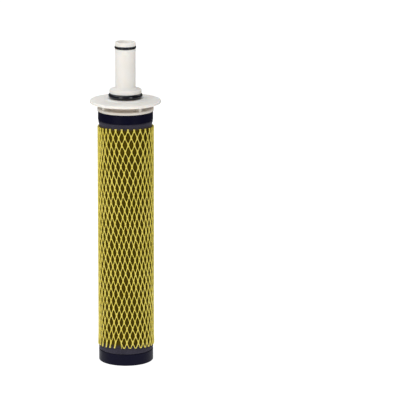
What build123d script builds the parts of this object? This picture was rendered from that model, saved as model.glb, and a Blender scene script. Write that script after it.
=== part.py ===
from build123d import *
import math
import os

os.makedirs("parts", exist_ok=True)

# Water filter element with a plug-in head adapter.
# Millimetres. +Z runs from the closed lower cap to the outlet tip.
# Origin: centre of the lower cap's underside. The front is the -Y side.

# ---- driving dimensions -------------------------------------------------
element_length = 248.0        # lower cap underside to upper cap top
cap_r = 26.45                 # both moulded end caps
cap_skirt_bore_r = 25.65
cap_web = 2.6
lower_cap_height = 11.25
upper_cap_height = 9.1
cap_step = 0.55               # chamfer at the upper cap's lower edge

glue_t = 1.5                  # hot-melt layer between each cap and the block

block_r = 25.0                # extruded carbon block
block_bore_r = 12.5
core_r = 12.1                 # perforated support tube
core_bore_r = 10.9
core_hole_d = 5.0
core_hole_rows = 17
core_holes_per_row = 8
wrap_t = 0.6                  # outer non-woven wrap

net_r = 27.05                 # outside of the two fused strand layers
net_bore_r = 25.68
net_z0 = 17.65
net_z1 = 234.75

socket_r = 9.0                # bore of the upper cap's socket
socket_wall = 1.7
socket_bottom_z = 225.0
socket_floor_t = 1.6
socket_port_r = 6.2

spigot_r = 10.7               # locating ring of the lower cap inside the core
spigot_bore_r = 9.1
spigot_top_z = 13.0

neck_r = 8.95                 # plug of the head adapter
neck_bore_r = 5.5
neck_bottom_z = 227.5
neck_groove_r = 7.6
neck_groove_w = 2.2
neck_groove_z = (232.4, 238.4)
neck_seal_r_out = 8.97        # squeezed size in the socket
neck_seal_w = 1.9

plate_r = 27.05               # disc that lies on the upper cap
plate_z0 = 248.1
plate_z1 = 250.6
rib_count = 4
rib_w = 3.3
rib_r_out = 26.0
rib_first_angle = -144.9      # degrees from +X
locating_ring_r = 17.85
locating_ring_t = 1.6
locating_ring_top_z = 253.0

barrel_r = 20.2               # recessed wall between plate and flange
barrel_bore_r = 18.0
flange_r = 34.3
flange_z0 = 255.55
flange_rim_z = 258.15
flange_foot_r = 20.8          # foot of the hub's sloping flank
flange_foot_z = 258.9
flange_hub_z = 260.1
flange_hub_r = 17.3

collar_r = 15.45
collar_groove_r = 11.35
collar_groove_z1 = 265.2
collar_edge_z = 268.7         # outer edge of the coned collar top
collar_top_z = 269.9          # where the cone would meet the stem
collar_seal_section = 5.0     # large O-ring
collar_core_r = 9.0

stem_r = 9.75
stem_bore_r = 6.5
stem_mouth_r = 8.35           # bore mouth, coned for the housing's spigot
stem_mouth_depth = 3.0
stem_land_r = 9.92
stem_land_z = 305.95
stem_top_z = 314.7
stem_groove_r = 7.8
stem_groove_z0 = 308.1
stem_groove_z1 = 310.8
stem_seal_section = 2.62      # small O-ring

lower_glue_z = cap_web
block_z0 = cap_web + glue_t
upper_web_z = element_length - cap_web
block_z1 = upper_web_z - glue_t


# ---- helpers -------------------------------------------------------------
def profile(points):
    """Closed half-section in the XZ plane from (r, z) or (r, z, fillet)."""
    n = len(points)
    starts, ends, arcs = [], [], []
    for i in range(n):
        r1, z1 = points[i][0], points[i][1]
        f = points[i][2] if len(points[i]) > 2 else 0.0
        if f <= 0:
            starts.append((r1, z1))
            ends.append((r1, z1))
            arcs.append(None)
            continue
        r0, z0 = points[i - 1][0], points[i - 1][1]
        r2, z2 = points[(i + 1) % n][0], points[(i + 1) % n][1]
        a = (r0 - r1, z0 - z1)
        b = (r2 - r1, z2 - z1)
        la, lb = math.hypot(*a), math.hypot(*b)
        a = (a[0] / la, a[1] / la)
        b = (b[0] / lb, b[1] / lb)
        half = math.acos(max(-1.0, min(1.0, a[0] * b[0] + a[1] * b[1]))) / 2
        t = f / math.tan(half)
        s = (a[0] + b[0], a[1] + b[1])
        ls = math.hypot(*s)
        s = (s[0] / ls, s[1] / ls)
        c = (r1 + s[0] * f / math.sin(half), z1 + s[1] * f / math.sin(half))
        starts.append((r1 + a[0] * t, z1 + a[1] * t))
        ends.append((r1 + b[0] * t, z1 + b[1] * t))
        arcs.append((c[0] - s[0] * f, c[1] - s[1] * f))
    edges = []
    for i in range(n):
        if arcs[i] is not None:
            edges.append(ThreePointArc(
                (starts[i][0], 0, starts[i][1]),
                (arcs[i][0], 0, arcs[i][1]),
                (ends[i][0], 0, ends[i][1]),
            ))
        j = (i + 1) % n
        p, q = ends[i], starts[j]
        if math.hypot(p[0] - q[0], p[1] - q[1]) > 1e-6:
            edges.append(Line((p[0], 0, p[1]), (q[0], 0, q[1])))
    return make_face(edges)


def turned(points):
    """Solid of revolution about Z."""
    return revolve(profile(points), Axis.Z, 360)


def tube(r_out, r_in, z0, z1, edge=0.0):
    return turned([
        (r_in, z0), (r_out, z0, edge), (r_out, z1, edge), (r_in, z1),
    ])


def write(name, shape):
    shape.label = name
    export_step(shape, "parts/" + name + ".step")


# ---- element ---------------------------------------------------------------
# Closed lower cap: a shallow cup with a locating ring and a rest ring
# round a slightly recessed underside.
lower_cap = turned([
    (0, 0.7), (19.0, 0.7, 0.4), (19.6, 0.0, 0.3), (cap_r, 0.0, 0.8),
    (cap_r, lower_cap_height, 0.35), (cap_skirt_bore_r, lower_cap_height),
    (cap_skirt_bore_r, cap_web, 0.3), (spigot_r, cap_web),
    (spigot_r, spigot_top_z, 0.4), (spigot_bore_r, spigot_top_z, 0.4),
    (spigot_bore_r, cap_web, 0.3), (0, cap_web),
])

lower_glue = turned([
    (spigot_r + 0.02, lower_glue_z), (cap_skirt_bore_r - 0.02, lower_glue_z, 0.36),
    (cap_skirt_bore_r - 0.02, block_z0), (spigot_r + 0.02, block_z0),
])

carbon_block = tube(block_r, block_bore_r, block_z0, block_z1, 0.4)

# Perforated support tube, holes staggered row by row.
core_tube = tube(core_r, core_bore_r, block_z0, block_z1)
row_pitch = (block_z1 - block_z0 - 38.0) / (core_hole_rows - 1)
cutters = []
for row in range(core_hole_rows):
    z = block_z0 + 16.0 + row * row_pitch
    for h in range(core_holes_per_row // 2):
        ang = (h + 0.5 * (row % 2)) * 360.0 / core_holes_per_row
        cutters.append(
            Pos(0, 0, z) * Rot(0, 0, ang) * Rot(0, 90, 0)
            * Cylinder(core_hole_d / 2, 2 * core_r + 4)
        )
core_tube = core_tube - cutters

core_fleece = tube(block_bore_r - 0.01, core_r + 0.01, block_z0, block_z1)

outer_wrap = tube(block_r + wrap_t, block_r + 0.01, block_z0, block_z1)

# The net is a closed sleeve of the true outer size.
net_sleeve = tube(net_r, net_bore_r, net_z0, net_z1, 0.3)

upper_glue = turned([
    (socket_r + socket_wall + 0.02, block_z1), (cap_skirt_bore_r - 0.02, block_z1),
    (cap_skirt_bore_r - 0.02, upper_web_z, 0.36),
    (socket_r + socket_wall + 0.02, upper_web_z),
])

# Upper cap: skirt over the wrap, web, and a socket hanging in the core tube.
upper_cap = turned([
    (socket_port_r, socket_bottom_z), (socket_r + socket_wall, socket_bottom_z, 0.5),
    (socket_r + socket_wall, upper_web_z), (cap_skirt_bore_r, upper_web_z, 0.3),
    (cap_skirt_bore_r, element_length - upper_cap_height),
    (cap_r - cap_step, element_length - upper_cap_height),
    (cap_r, element_length - upper_cap_height + cap_step),
    (cap_r, element_length, 0.4), (socket_r + 0.9, element_length),
    (socket_r, element_length - 0.9),
    (socket_r, socket_bottom_z + socket_floor_t),
    (socket_port_r, socket_bottom_z + socket_floor_t),
])

# ---- head adapter -----------------------------------------------------------
# Lower moulding: plate, ribs, locating ring, grooved plug.
g1, g2 = neck_groove_z
hw = neck_groove_w / 2
neck_plate = turned([
    (neck_bore_r, neck_bottom_z), (neck_r - 0.9, neck_bottom_z),
    (neck_r, neck_bottom_z + 1.6),
    (neck_r, g1 - hw), (neck_groove_r, g1 - hw, 0.2), (neck_groove_r, g1 + hw, 0.2),
    (neck_r, g1 + hw),
    (neck_r, g2 - hw), (neck_groove_r, g2 - hw, 0.2), (neck_groove_r, g2 + hw, 0.2),
    (neck_r, g2 + hw),
    (neck_r, plate_z0), (plate_r, plate_z0, 0.35), (plate_r, plate_z1, 0.5),
    (locating_ring_r, plate_z1), (locating_ring_r, locating_ring_top_z, 0.3),
    (locating_ring_r - locating_ring_t, locating_ring_top_z, 0.3),
    (locating_ring_r - locating_ring_t, plate_z1, 0.4),
    (neck_bore_r, plate_z1, 0.8),
])
rib_r_in = barrel_r + 0.01
for i in range(rib_count):
    ang = rib_first_angle + i * 360.0 / rib_count
    rib = Box(rib_r_out - rib_r_in + 0.5, rib_w, flange_z0 - plate_z1 + 0.2,
              align=(Align.MIN, Align.CENTER, Align.MIN))
    rib = Pos(rib_r_in - 0.5, 0, plate_z1 - 0.2) * rib
    rib = fillet(rib.edges().filter_by(Axis.Z).group_by(Axis.X)[-1], 0.7)
    keep = tube(rib_r_out + 2, rib_r_in, plate_z1 - 0.3, flange_z0)
    rib = rib & keep
    neck_plate = neck_plate + (Rot(0, 0, ang) * rib)

# Upper moulding: flange, recessed barrel, seal collar and hollow outlet stem.
stem_flange = turned([
    (barrel_bore_r, plate_z1), (barrel_r, plate_z1), (barrel_r, flange_z0),
    (flange_r, flange_z0, 1.1), (flange_r, flange_rim_z, 1.1),
    (flange_foot_r, flange_foot_z, 4.0), (flange_hub_r, flange_hub_z, 0.5),
    (collar_groove_r, flange_hub_z, 0.4), (collar_groove_r, collar_groove_z1, 0.4),
    (collar_r, collar_groove_z1, 0.3), (collar_r, collar_edge_z, 0.8),
    (stem_r, collar_top_z, 2.2),
    (stem_r, stem_land_z - 0.15), (stem_land_r, stem_land_z),
    (stem_land_r, stem_groove_z0, 0.15), (stem_groove_r, stem_groove_z0, 0.2),
    (stem_groove_r, stem_groove_z1, 0.2), (stem_land_r, stem_groove_z1, 0.15),
    (stem_land_r, stem_top_z, 0.7), (stem_mouth_r, stem_top_z, 0.3),
    (stem_bore_r, stem_top_z - stem_mouth_depth, 1.0),
    (stem_bore_r, collar_groove_z1 + 1.6), (collar_core_r, collar_groove_z1 - 1.2),
    (collar_core_r, flange_z0 + 0.5, 0.6), (barrel_bore_r, flange_z0 + 0.1, 0.6),
])

stem_seal = Pos(0, 0, (stem_groove_z0 + stem_groove_z1) / 2) * Torus(
    stem_groove_r + stem_seal_section / 2, stem_seal_section / 2)
collar_seal = Pos(0, 0, (flange_hub_z + collar_groove_z1) / 2) * Torus(
    collar_groove_r + 0.02 + collar_seal_section / 2, collar_seal_section / 2)


def neck_seal(z):
    h = neck_seal_w / 2
    return turned([
        (neck_groove_r + 0.01, z - h, 0.55), (neck_seal_r_out, z - h, 0.55),
        (neck_seal_r_out, z + h, 0.55), (neck_groove_r + 0.01, z + h, 0.55),
    ])


# ---- files -------------------------------------------------------------------
write("lower_end_cap", lower_cap)
write("lower_glue_ring", lower_glue)
write("carbon_block", carbon_block)
write("core_tube", core_tube)
write("core_fleece", core_fleece)
write("outer_wrap", outer_wrap)
write("net_sleeve", net_sleeve)
write("upper_glue_ring", upper_glue)
write("upper_end_cap", upper_cap)
write("neck_seal_lower", neck_seal(g1))
write("neck_seal_upper", neck_seal(g2))
write("neck_plate", neck_plate)
write("stem_flange", stem_flange)
write("collar_seal", collar_seal)
write("stem_seal", stem_seal)
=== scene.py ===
import math

import bmesh
import bpy
import numpy as np
from mathutils import Euler, Matrix, Vector, noise


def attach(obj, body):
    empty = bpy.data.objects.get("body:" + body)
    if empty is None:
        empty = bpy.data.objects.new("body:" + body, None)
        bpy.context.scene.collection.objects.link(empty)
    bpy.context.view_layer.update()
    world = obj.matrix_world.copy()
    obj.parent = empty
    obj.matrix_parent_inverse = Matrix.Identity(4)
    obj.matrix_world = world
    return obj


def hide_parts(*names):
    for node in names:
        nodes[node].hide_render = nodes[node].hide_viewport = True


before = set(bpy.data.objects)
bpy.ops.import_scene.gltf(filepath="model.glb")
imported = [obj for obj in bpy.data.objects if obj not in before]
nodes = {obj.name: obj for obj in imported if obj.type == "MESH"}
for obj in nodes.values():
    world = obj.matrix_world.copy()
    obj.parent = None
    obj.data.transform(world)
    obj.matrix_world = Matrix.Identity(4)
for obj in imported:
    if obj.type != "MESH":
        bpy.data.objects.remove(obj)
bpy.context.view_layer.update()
MM = 0.001
scene = bpy.context.scene


# ---------------------------------------------------------------- camera
def make_camera():
    cam = bpy.data.cameras.new("camera")
    cam.sensor_width = 36.0
    cam.lens = 249.5
    cam.clip_start, cam.clip_end = 0.1, 50.0
    cam.dof.use_dof = False
    o = bpy.data.objects.new("camera", cam)
    o.location = (0.07369, -2.6311, 0.7894)
    roll = Matrix.Rotation(math.radians(0.22), 3, "Z")
    o.rotation_euler = (Euler((math.radians(90.0 - 13.5), 0.0, 0.0)).to_matrix() @ roll).to_euler()
    scene.collection.objects.link(o)
    scene.camera = o


make_camera()


# ---------------------------------------------------------------- materials
def node_material(name):
    m = bpy.data.materials.new(name)
    m.use_nodes = True
    nt = m.node_tree
    nt.nodes.clear()
    out = nt.nodes.new("ShaderNodeOutputMaterial")
    bsdf = nt.nodes.new("ShaderNodeBsdfPrincipled")
    nt.links.new(bsdf.outputs["BSDF"], out.inputs["Surface"])
    return m, nt, bsdf


def coords(nt, scale=(1, 1, 1)):
    tc = nt.nodes.new("ShaderNodeTexCoord")
    mp = nt.nodes.new("ShaderNodeMapping")
    mp.inputs["Scale"].default_value = scale
    nt.links.new(tc.outputs["Object"], mp.inputs["Vector"])
    return mp.outputs["Vector"]


def noise_tex(nt, vec, scale, detail=3.0, rough=0.5, distortion=0.0):
    n = nt.nodes.new("ShaderNodeTexNoise")
    n.inputs["Scale"].default_value = scale
    n.inputs["Detail"].default_value = detail
    n.inputs["Roughness"].default_value = rough
    n.inputs["Distortion"].default_value = distortion
    nt.links.new(vec, n.inputs["Vector"])
    return n.outputs["Fac"]


def ramp(nt, fac, stops):
    r = nt.nodes.new("ShaderNodeValToRGB")
    e = r.color_ramp.elements
    while len(e) < len(stops):
        e.new(0.5)
    for k, (p, c) in enumerate(stops):
        e[k].position = p
        e[k].color = tuple(c) + (1.0,) if len(c) == 3 else tuple(c)
    nt.links.new(fac, r.inputs["Fac"])
    return r.outputs["Color"]


def map_range(nt, fac, a, b, lo=0.0, hi=1.0):
    m = nt.nodes.new("ShaderNodeMapRange")
    m.inputs["From Min"].default_value = lo
    m.inputs["From Max"].default_value = hi
    m.inputs["To Min"].default_value = a
    m.inputs["To Max"].default_value = b
    nt.links.new(fac, m.inputs["Value"])
    return m.outputs["Result"]


def math_node(nt, op, a, b):
    m = nt.nodes.new("ShaderNodeMath")
    m.operation = op
    for k, v in enumerate((a, b)):
        if isinstance(v, (int, float)):
            m.inputs[k].default_value = v
        else:
            nt.links.new(v, m.inputs[k])
    return m.outputs["Value"]


def bump(nt, bsdf, height, strength, distance):
    b = nt.nodes.new("ShaderNodeBump")
    b.inputs["Strength"].default_value = strength
    b.inputs["Distance"].default_value = distance
    nt.links.new(height, b.inputs["Height"])
    nt.links.new(b.outputs["Normal"], bsdf.inputs["Normal"])


def around_z(nt):
    """X, Y and height Z in metres, from object coordinates."""
    tc = nt.nodes.new("ShaderNodeTexCoord")
    sp = nt.nodes.new("ShaderNodeSeparateXYZ")
    nt.links.new(tc.outputs["Object"], sp.inputs["Vector"])
    return sp.outputs["X"], sp.outputs["Y"], sp.outputs["Z"]


def moulded(name, dark, light, roughness, spread, specular, grain=0.00002,
            sss=0.0, radius=(1.0, 0.8, 0.6), sss_scale=0.002, painted_gap_shade=None):
    """Injection-moulded plastic: a faint cloud in the colour, flow marks in the
    roughness and a fine spark-eroded grain. `painted_gap_shade` is (height, tint):
    painted shade, the colour darkened towards the tint under that height, standing in
    for the shadow in the gap."""
    m, nt, bsdf = node_material(name)
    vec = coords(nt)
    cloud = noise_tex(nt, vec, 38.0, 4.0, 0.55, 0.4)
    colour = ramp(nt, cloud, [(0.30, dark), (0.72, light)])
    if painted_gap_shade:
        # painted shade: below the given height the colour is multiplied towards the tint, strongest in the middle
        # and weaker to the left and right, in place of the gap's shadow
        mix = nt.nodes.new("ShaderNodeMix")
        mix.data_type = "RGBA"
        mix.blend_type = "MULTIPLY"
        x, y, z = around_z(nt)
        sides = math_node(nt, "MULTIPLY", map_range(nt, x, 0.35, 1.0, -0.0200, -0.0105),
                          map_range(nt, x, 1.0, 0.70, 0.0020, 0.0130))
        low = map_range(nt, z, 1.0, 0.0, painted_gap_shade[0] - 0.0006, painted_gap_shade[0])
        nt.links.new(math_node(nt, "MULTIPLY", low, sides), mix.inputs["Factor"])
        nt.links.new(colour, mix.inputs["A"])
        mix.inputs["B"].default_value = painted_gap_shade[1] + (1.0,)
        colour = mix.outputs["Result"]
    nt.links.new(colour, bsdf.inputs["Base Color"])
    flow = noise_tex(nt, coords(nt, (1.0, 1.0, 0.25)), 90.0, 3.0, 0.5, 1.2)
    nt.links.new(map_range(nt, flow, roughness - spread, roughness + spread, 0.3, 0.7),
                 bsdf.inputs["Roughness"])
    fine = noise_tex(nt, vec, 2600.0, 2.0, 0.5)
    bump(nt, bsdf, fine, 0.35, grain)
    bsdf.inputs["Specular IOR Level"].default_value = specular
    if sss:
        bsdf.inputs["Subsurface Weight"].default_value = sss
        bsdf.inputs["Subsurface Radius"].default_value = radius
        bsdf.inputs["Subsurface Scale"].default_value = sss_scale
    return m


# the tint under 0.256 m is painted shade for the gap between the flange and the neck plate
M_WHITE = moulded("white_moulding", (0.805, 0.777, 0.728), (0.855, 0.832, 0.794),
                  0.36, 0.06, 0.45, sss=0.45, radius=(1.0, 0.82, 0.66), sss_scale=0.0035,
                  painted_gap_shade=(0.2560, (0.66, 0.59, 0.53)))
# painted shade: the neck plate is the same white plastic, given a darker, warmer colour in place of the shadow
# under the flange's overhang
M_PLATE_SHADED = moulded("white_moulding_plate_shaded", (0.640, 0.600, 0.545), (0.700, 0.665, 0.610),
                  0.38, 0.06, 0.40, sss=0.25, radius=(1.0, 0.80, 0.60), sss_scale=0.0020)
M_CAP = moulded("black_cap", (0.0022, 0.0020, 0.0120), (0.0033, 0.0030, 0.0155),
                0.42, 0.07, 0.09, grain=0.00003)
M_NET = moulded("net_yellow", (0.66, 0.546, 0.068), (0.79, 0.671, 0.122),
                0.36, 0.07, 0.42, grain=0.00002, sss=0.10,
                radius=(1.0, 0.8, 0.15), sss_scale=0.0008)
M_CORE = moulded("core_plastic", (0.70, 0.70, 0.67), (0.78, 0.78, 0.76),
                 0.45, 0.06, 0.4)
M_GLUE = moulded("hot_melt", (0.62, 0.53, 0.34), (0.75, 0.68, 0.50),
                 0.30, 0.10, 0.5, grain=0.00006, sss=0.2, sss_scale=0.002)


def rubber():
    m, nt, bsdf = node_material("seal_rubber")
    vec = coords(nt)
    dust = noise_tex(nt, vec, 120.0, 5.0, 0.6)
    nt.links.new(ramp(nt, dust, [(0.35, (0.0014, 0.0014, 0.0050)),
                                 (0.75, (0.0030, 0.0030, 0.0085))]),
                 bsdf.inputs["Base Color"])
    smear = noise_tex(nt, coords(nt, (1, 1, 3)), 200.0, 3.0, 0.5)
    nt.links.new(map_range(nt, smear, 0.09, 0.13, 0.3, 0.7), bsdf.inputs["Roughness"])
    bump(nt, bsdf, noise_tex(nt, vec, 3200.0, 2.0), 0.25, 0.00001)
    bsdf.inputs["Specular IOR Level"].default_value = 0.44
    return m


M_SEAL = rubber()


def fleece(name, dark, light, sheen, scale=1.0, painted_under_net=None):
    """Spun-bonded fleece: crossing fibres, bond points and soft clouds. Under the
    net its colour is swapped for a painted olive tint and painted shade, standing in for
    the light the yellow strands bounce onto it and the shade they cast."""
    m, nt, bsdf = node_material(name)
    cloud = noise_tex(nt, coords(nt), 60.0 * scale, 5.0, 0.6, 0.3)
    f1 = noise_tex(nt, coords(nt, (1.0, 1.0, 0.12)), 1500.0 * scale, 3.0, 0.65, 1.5)
    f2 = noise_tex(nt, coords(nt, (0.35, 0.35, 1.0)), 1300.0 * scale, 3.0, 0.65, 1.5)
    fibre = math_node(nt, "MAXIMUM", f1, f2)
    mixed = math_node(nt, "ADD", math_node(nt, "MULTIPLY", fibre, 0.65),
                      math_node(nt, "MULTIPLY", cloud, 0.35))
    colour = ramp(nt, mixed, [(0.40, dark), (0.66, light)])
    if painted_under_net:
        # painted light: between the net's top and bottom the fleece takes the olive pair, a painted tint of light
        # bounced off the strands and painted shade
        z = around_z(nt)[2]
        top = map_range(nt, z, 1.0, 0.0, 0.2325, 0.2350)
        low = map_range(nt, z, 0.0, 1.0, 0.0180, 0.0215)
        mix = nt.nodes.new("ShaderNodeMix")
        mix.data_type = "RGBA"
        nt.links.new(math_node(nt, "MULTIPLY", top, low), mix.inputs["Factor"])
        nt.links.new(colour, mix.inputs["A"])
        nt.links.new(ramp(nt, mixed, [(0.40, painted_under_net[0]), (0.66, painted_under_net[1])]), mix.inputs["B"])
        colour = mix.outputs["Result"]
        covered = math_node(nt, "MULTIPLY", top, low)
        nt.links.new(map_range(nt, covered, sheen, 0.1 * sheen), bsdf.inputs["Sheen Weight"])
        nt.links.new(map_range(nt, covered, 0.25, 0.06), bsdf.inputs["Specular IOR Level"])
    else:
        bsdf.inputs["Specular IOR Level"].default_value = 0.25
        bsdf.inputs["Sheen Weight"].default_value = sheen
    nt.links.new(colour, bsdf.inputs["Base Color"])
    nt.links.new(map_range(nt, fibre, 0.98, 0.80, 0.3, 0.8), bsdf.inputs["Roughness"])
    bump(nt, bsdf, fibre, 0.6, 0.00012)
    bsdf.inputs["Sheen Roughness"].default_value = 0.5
    bsdf.inputs["Sheen Tint"].default_value = (0.80, 0.78, 0.95, 1.0)
    return m


# the second pair of colours is painted: olive bounce from the net's strands and shade under the net
M_WRAP = fleece("outer_fleece", (0.0190, 0.0172, 0.0285), (0.0405, 0.0375, 0.0565), 0.10,
                painted_under_net=((0.041, 0.0280, 0.0008), (0.086, 0.0610, 0.0018)))
M_INNER_FLEECE = fleece("inner_fleece", (0.62, 0.62, 0.60), (0.82, 0.82, 0.80), 0.05)


def carbon():
    m, nt, bsdf = node_material("carbon_block")
    vec = coords(nt)
    v = nt.nodes.new("ShaderNodeTexVoronoi")
    v.inputs["Scale"].default_value = 2600.0
    nt.links.new(vec, v.inputs["Vector"])
    grains = v.outputs["Distance"]
    nt.links.new(ramp(nt, grains, [(0.1, (0.030, 0.030, 0.031)), (0.7, (0.010, 0.010, 0.011))]),
                 bsdf.inputs["Base Color"])
    nt.links.new(map_range(nt, grains, 0.95, 0.55, 0.0, 0.6), bsdf.inputs["Roughness"])
    bump(nt, bsdf, grains, 0.7, 0.0001)
    bsdf.inputs["Specular IOR Level"].default_value = 0.4
    return m


M_CARBON = carbon()


def dress(name, material, smooth=True):
    o = nodes[name]
    o.data.materials.clear()
    o.data.materials.append(material)
    return o


for name, material in (
    ("lower_end_cap", M_CAP), ("upper_end_cap", M_CAP),
    ("lower_glue_ring", M_GLUE), ("upper_glue_ring", M_GLUE),
    ("carbon_block", M_CARBON), ("core_tube", M_CORE),
    ("core_fleece", M_INNER_FLEECE), ("neck_plate", M_PLATE_SHADED),
    ("stem_flange", M_WHITE), ("neck_seal_lower", M_SEAL),
    ("neck_seal_upper", M_SEAL), ("collar_seal", M_SEAL), ("stem_seal", M_SEAL),
):
    dress(name, material)


def new_object(name, verts, faces, material, smooth=True):
    me = bpy.data.meshes.new(name)
    me.from_pydata([tuple(v) for v in verts], [], faces)
    me.validate()
    me.materials.append(material)
    if smooth:
        me.polygons.foreach_set("use_smooth", [True] * len(me.polygons))
    me.update()
    o = bpy.data.objects.new(name, me)
    scene.collection.objects.link(o)
    return o


# ---------------------------------------------------------------- net
# Two families of extruded strands. Family A runs down to the right and is even,
# family B runs down to the left and is uneven. Angles are from the front (-Y)
# towards +X.
NET_N = 32
NET_H = 7.08                  # height between rows of joints, less towards the bottom
NET_H_LESS = 0.00367
NET_ROW0 = 232.85             # height of the first row of joints
NET_TOP, NET_BOTTOM = 234.75, 17.65
NET_RF, NET_RB = 27.27, 25.80
DELTA = 2 * math.pi / NET_N
PHASE = math.radians(-2.8 - 11.25)


def unevenness(n, amount, seed):
    rng = np.random.default_rng(seed)
    e = rng.normal(0.0, amount, n)
    e = e - e.mean()
    return np.clip(e, -0.32, 0.32)


EPS_A = unevenness(NET_N, 0.045, 11)


def chains(n, wide, amount, seed):
    """Offsets of strands that stand closer together in groups, with a wider gap
    between groups. `wide` maps a gap to how much wider it is."""
    rng = np.random.default_rng(seed)
    gap = 1.0 + rng.normal(0.0, amount, n)
    for k, more in wide.items():
        gap[k] += more
    gap *= n / gap.sum()
    e = np.concatenate([[0.0], np.cumsum(gap - 1.0)[:-1]])
    return e - e.mean()


EPS_B = chains(NET_N, {5: 0.30, 10: 0.30, 15: 0.14, 21: 0.24, 26: 0.22, 31: 0.16}, 0.045, 5)


def crowd(z):
    """How much wider the strands stand at the front and back than at the sides."""
    t = (NET_TOP - z) / (NET_TOP - NET_BOTTOM)
    return 0.24 * math.exp(-((t / 0.16) ** 2)) - 0.13 * math.exp(-(((t - 0.5) / 0.30) ** 2)) \
        + 0.10 * math.exp(-(((t - 1.0) / 0.16) ** 2))


def net_angle(phi, z):
    p0 = math.radians(15.0)
    return phi + 0.5 * crowd(z) * math.sin(2 * (phi - p0))


def twist(z):
    """The sleeve turns slowly to the right on its way down."""
    t = min(max((NET_TOP - z) / 210.0, 0.0), 1.0)
    return 0.300 * t * t * (3 - 2 * t)


def a_strand(i):
    return i * DELTA + EPS_A[i % NET_N] * DELTA + PHASE


def b_strand(m):
    return m * DELTA + EPS_B[m % NET_N] * DELTA + PHASE


def joint_centre(i, r):
    a, b = a_strand(i), b_strand(i + r)
    u = (b - a) / DELTA
    v = r + 0.4 * (u - r)
    z = NET_ROW0 - (NET_H * v - NET_H_LESS * v * v)
    return net_angle((a + b) / 2 + twist(z), z), z


def from_front(theta):
    return (theta + math.pi) % (2 * math.pi) - math.pi


LAST = 30                     # last whole row of joints


def is_stub(joint, i):
    """Joints at the front left end in straight stubs instead of two strands."""
    return -1.36 < from_front(joint[i % NET_N, LAST][4]) < -0.33


def is_stray(joint, i):
    """The joint next to the stubs has one loose strand."""
    return is_stub(joint, i - 1) and not is_stub(joint, i)


def sag(theta):
    """The sleeve sits highest at the front: 0 there, 1 at the sides and back."""
    theta = abs(from_front(theta))
    return 1.0 if theta > math.pi / 2 else math.sin(theta) ** 2


SAG = 2.0


def flare(theta, z):
    if z > 34.0:
        return 0.0
    t = (34.0 - z) / 16.35
    return 0.34 * t ** 1.7 * (1.0 + 0.25 * math.sin(3 * theta + 0.6))


def on_sleeve(theta, z, dx, dz, r):
    z2 = z + dz
    th = theta + dx / 26.4
    rr = r + flare(th, z2)
    return ((0.18 + rr * math.sin(th)) * MM, -rr * math.cos(th) * MM, z2 * MM)


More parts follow.
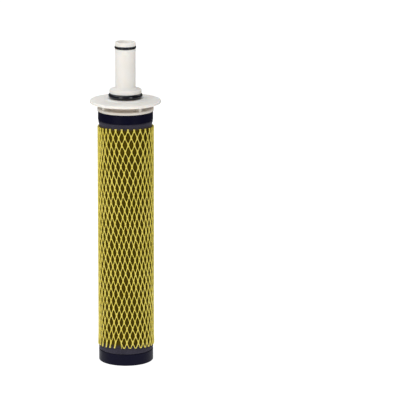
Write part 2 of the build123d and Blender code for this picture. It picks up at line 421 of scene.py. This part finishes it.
def build_net():
    half_w, half_h = 0.55, 2.10       # half size of a joint's cage
    wide = 0.385                      # half width of a strand's cage
    rows = range(-1, LAST + 3)
    verts, faces = [], []
    joint = {}

    def put(theta, z, dx, dz, rf, rb):
        verts.append(on_sleeve(theta, z, dx, dz, rf))
        verts.append(on_sleeve(theta, z, dx, dz, rb))
        return len(verts) - 2

    rng = np.random.default_rng(3)
    for r in rows:
        for i in range(NET_N):
            th, z = joint_centre(i, r)
            w = half_w * (1 + rng.uniform(-0.07, 0.07))
            h = half_h * (1 + rng.uniform(-0.10, 0.10))
            out = rng.uniform(-0.05, 0.0)
            rf, rb = NET_RF + out, NET_RB
            joint[i, r] = (
                put(th, z, -w, 0, rf, rb), put(th, z, 0, -h, rf, rb),
                put(th, z, w, 0, rf, rb), put(th, z, 0, h, rf, rb), th, z,
            )

    def quad(a, b, c, d):
        faces.append((a, b, c, d))

    def span(p, q, s, t):
        """Strand walls between cross-section (p, q) above and (s, t) below.
        p, s are its left edges and q, t its right edges, seen from outside."""
        quad(p, s, t, q)                      # front
        quad(p + 1, q + 1, t + 1, s + 1)      # back
        quad(p, p + 1, s + 1, s)              # left wall
        quad(q, t, t + 1, q + 1)              # right wall

    for (i, r), (L, B, R, T, th, z) in joint.items():
        if r > LAST and (is_stub(joint, i) or is_stub(joint, i - 1)) \
                and (is_stub(joint, i + 1) or is_stray(joint, i + 1)):
            continue
        quad(L, B, R, T)
        quad(L + 1, T + 1, R + 1, B + 1)
        if r == LAST and is_stub(joint, i):
            a, m, b = [put(th, z - 10.0, dx - 2.1, 0, NET_RF - 0.04, NET_RB)
                       for dx in (-0.92, 0, 0.92)]
            span(L, B, a, m)
            span(B, R, m, b)
            continue
        if (i, r + 1) in joint:
            # strand A, down to the right: left edge B .. L2, right edge R .. T2
            L2, B2, R2, T2, th2, z2 = joint[i, r + 1]
            strand(verts, span, put, (B, R), (L2, T2), th, z, th2, z2, wide)
        j = (i - 1) % NET_N
        if r == LAST and is_stray(joint, i):
            a = put(th, z - 10.0, 0.35, 0, NET_RF - 0.04, NET_RB)
            b = put(th, z - 10.0, 1.15, 0, NET_RF - 0.04, NET_RB)
            span(L, B, a, b)
        elif (j, r + 1) in joint:
            # strand B, down to the left: left edge L .. T3, right edge B .. R3
            L3, B3, R3, T3, th3, z3 = joint[j, r + 1]
            if i == 0:
                th3 -= 2 * math.pi
            strand(verts, span, put, (L, B), (T3, R3), th, z, th3, z3, wide)

    me = bpy.data.meshes.new("net_cage")
    me.from_pydata(verts, [], faces)
    me.validate()
    o = bpy.data.objects.new("net_cage", me)
    scene.collection.objects.link(o)
    sub = o.modifiers.new("round", "SUBSURF")
    sub.levels = sub.render_levels = 1
    bpy.context.view_layer.update()
    dg = bpy.context.evaluated_depsgraph_get()
    smooth = bpy.data.meshes.new_from_object(o.evaluated_get(dg))
    bpy.data.objects.remove(o)

    bm = bmesh.new()
    bm.from_mesh(smooth)
    for f in bm.faces:
        f.smooth = True
    for co, no in (((0, 0, NET_TOP * MM), Vector((0.000, 0.0, 1.0))),
                   ((0, 0, (NET_BOTTOM + 0.5) * MM), Vector((0.002, 0.010, -1.0)))):
        geom = bm.verts[:] + bm.edges[:] + bm.faces[:]
        bmesh.ops.bisect_plane(bm, geom=geom, dist=1e-7, plane_co=co, plane_no=no.normalized(),
                               clear_outer=True, clear_inner=False)
        rim = [e for e in bm.edges if e.is_boundary]
        res = bmesh.ops.holes_fill(bm, edges=rim, sides=0)
        for f in res["faces"]:
            f.smooth = False
    bmesh.ops.recalc_face_normals(bm, faces=bm.faces[:])
    for v in bm.verts:
        v.co.z -= SAG * sag(math.atan2(v.co.x, -v.co.y)) * MM
    me = bpy.data.meshes.new("net")
    bm.to_mesh(me)
    bm.free()
    me.materials.append(M_NET)
    o = bpy.data.objects.new("net", me)
    scene.collection.objects.link(o)
    return o


def strand(verts, span, put, top, bottom, th, z, th2, z2, wide):
    run = (th2 - th) * 26.4
    drop = z2 - z
    length = math.hypot(run, drop)
    nx, nz = -drop / length, run / length     # to the strand's right, seen from outside
    p, q = top
    for t in (0.31, 0.69):
        tt, zt = th + (th2 - th) * t, z + drop * t
        a = put(tt, zt, -nx * wide, -nz * wide, NET_RF - 0.06, NET_RB + 0.02)
        b = put(tt, zt, nx * wide, nz * wide, NET_RF - 0.06, NET_RB + 0.02)
        span(p, q, a, b)
        p, q = a, b
    span(p, q, *bottom)


net = build_net()
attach(net, "element")
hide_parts("net_sleeve")


# ---------------------------------------------------------------- wrap
def build_wrap():
    """A sheet of fleece rolled once round the block, with a lap seam at the back."""
    z0, z1 = 4.12, 243.88
    thick = 0.50
    lap = 10.0
    r_mid = 25.30
    turn = 2 * math.pi * r_mid
    total = turn + lap
    ns, nz = 340, 300
    start = math.radians(158.0)

    def radius(s, theta, z):
        r = r_mid
        # the outer end lies on the inner end
        over = (s - (turn - 3.0)) / 3.0
        r += (thick + 0.02) * min(max(over, 0.0), 1.0) ** 2 * (3 - 2 * min(max(over, 0.0), 1.0))
        # soft swell where neither cap nor net holds it
        low = math.exp(-((z - 14.2 + 0.9 * sag(theta)) / (2.8 - 0.9 * sag(theta))) ** 4) if z > 11.4 else 0.0
        ripple = 0.5 + 0.5 * noise.noise(Vector((math.sin(theta) * 3.1, math.cos(theta) * 3.1, z * 0.02)))
        lump = noise.noise(Vector((math.sin(theta) * 13, math.cos(theta) * 13, z * 0.8)))
        high = math.exp(-((z - 238.4) / 2.0) ** 4) if z < 238.7 else 0.0
        r += 0.80 * low * (0.78 + 0.37 * ripple) + 0.10 * low * lump
        r += 0.62 * high * (0.80 + 0.35 * ripple)
        if 17.0 < z < 236.0:
            r += 0.05 * noise.noise(Vector((math.sin(theta) * 9, math.cos(theta) * 9, z * 0.22)))
        return r

    zs = np.concatenate([
        np.linspace(z0, 11.4, 8, endpoint=False), np.linspace(11.4, 20.0, 26, endpoint=False),
        np.linspace(20.0, 234.0, nz - 8 - 26 - 26, endpoint=False), np.linspace(234.0, 238.7, 18, endpoint=False),
        np.linspace(238.7, z1, 8)])
    ss = np.linspace(0.0, total, ns)
    verts, faces = [], []
    for side in (1, -1):
        for z in zs:
            for s in ss:
                theta = start + s / r_mid
                r = radius(s, theta, z) + side * thick / 2 * (0.98)
                if side > 0 and (z < 11.4 or z > 238.7):
                    r = min(r, 25.60 if s < turn - 3 else 26.2)
                if z < 11.4 or z > 238.7:
                    r = min(r, 25.62)
                verts.append((r * math.sin(theta) * MM, -r * math.cos(theta) * MM, z * MM))
    nzs = len(zs)
    half = nzs * ns

    def idx(side, j, i):
        return side * half + j * ns + i

    for j in range(nzs - 1):
        for i in range(ns - 1):
            faces.append((idx(0, j, i), idx(0, j, i + 1), idx(0, j + 1, i + 1), idx(0, j + 1, i)))
            faces.append((idx(1, j, i), idx(1, j + 1, i), idx(1, j + 1, i + 1), idx(1, j, i + 1)))
    for i in range(ns - 1):
        faces.append((idx(0, 0, i), idx(1, 0, i), idx(1, 0, i + 1), idx(0, 0, i + 1)))
        faces.append((idx(0, nzs - 1, i), idx(0, nzs - 1, i + 1), idx(1, nzs - 1, i + 1), idx(1, nzs - 1, i)))
    for j in range(nzs - 1):
        faces.append((idx(0, j, 0), idx(0, j + 1, 0), idx(1, j + 1, 0), idx(1, j, 0)))
        faces.append((idx(0, j, ns - 1), idx(1, j, ns - 1), idx(1, j + 1, ns - 1), idx(0, j + 1, ns - 1)))
    return new_object("wrap", verts, faces, M_WRAP), total


wrap, wrap_width = build_wrap()
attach(wrap, "element")
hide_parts("outer_wrap")


# ---------------------------------------------------------------- stage and light
def make_stage():
    m, nt, bsdf = node_material("floor")
    n = noise_tex(nt, coords(nt), 3.0, 2.0)
    nt.links.new(ramp(nt, n, [(0.3, (0.21, 0.21, 0.21)), (0.7, (0.23, 0.23, 0.23))]),
                 bsdf.inputs["Base Color"])
    bsdf.inputs["Roughness"].default_value = 0.9
    bsdf.inputs["Specular IOR Level"].default_value = 0.1
    bsdf.inputs["Emission Color"].default_value = (1, 1, 1, 1)
    bsdf.inputs["Emission Strength"].default_value = 0.96
    for name, inner, outer, drop, glossy in (("floor_near", 0.0, 0.32, 0.0, True),
                                             ("floor_far", 0.32, 9.0, 0.0, False)):
        n = 96
        ring = [(r * math.cos(2 * math.pi * k / n), r * math.sin(2 * math.pi * k / n), -drop)
                for r in ((outer,) if inner == 0 else (inner, outer)) for k in range(n)]
        if inner == 0:
            faces = [tuple(range(n))]
        else:
            faces = [(k, (k + 1) % n, n + (k + 1) % n, n + k)[::-1] for k in range(n)]
        me = bpy.data.meshes.new(name)
        me.from_pydata(ring, [], faces)
        me.materials.append(m)
        floor = bpy.data.objects.new(name, me)
        scene.collection.objects.link(floor)
        floor.visible_glossy = glossy

    world = bpy.data.worlds.new("world")
    scene.world = world
    world.use_nodes = True
    bg = world.node_tree.nodes["Background"]
    bg.inputs["Color"].default_value = (1.0, 1.0, 1.0, 1.0)
    bg.inputs["Strength"].default_value = 0.12

    def area(name, azimuth, elevation, distance, w, h, power, target=(0, 0, 0.15), colour=(1, 1, 1)):
        # azimuth from -Y towards +X, as seen by the object
        a, e = math.radians(azimuth), math.radians(elevation)
        d = Vector((math.sin(a) * math.cos(e), -math.cos(a) * math.cos(e), math.sin(e)))
        light = bpy.data.lights.new(name, "AREA")
        light.shape = "RECTANGLE"
        light.size, light.size_y = w, h
        light.energy = power
        light.color = colour
        o = bpy.data.objects.new(name, light)
        o.location = Vector(target) + d * distance
        o.rotation_mode = "QUATERNION"
        o.rotation_quaternion = (-d).to_track_quat("-Z", "Y")
        scene.collection.objects.link(o)

    area("key_left", -31, 14, 2.2, 0.80, 1.5, 13.9, colour=(1.0, 0.965, 0.92))
    area("fill_right", 39, 16, 2.2, 0.60, 1.4, 10.2, colour=(0.975, 0.985, 1.0))
    area("top", -108, 74, 1.9, 3.0, 2.6, 45.5, colour=(0.945, 0.970, 1.0))
    area("back", 138, 42, 2.2, 1.2, 1.2, 7.0, colour=(0.97, 0.985, 1.0))


make_stage()
scene.view_settings.view_transform = "Standard"
scene.view_settings.look = "None"
scene.view_settings.exposure = 0.0
scene.view_settings.gamma = 1.0
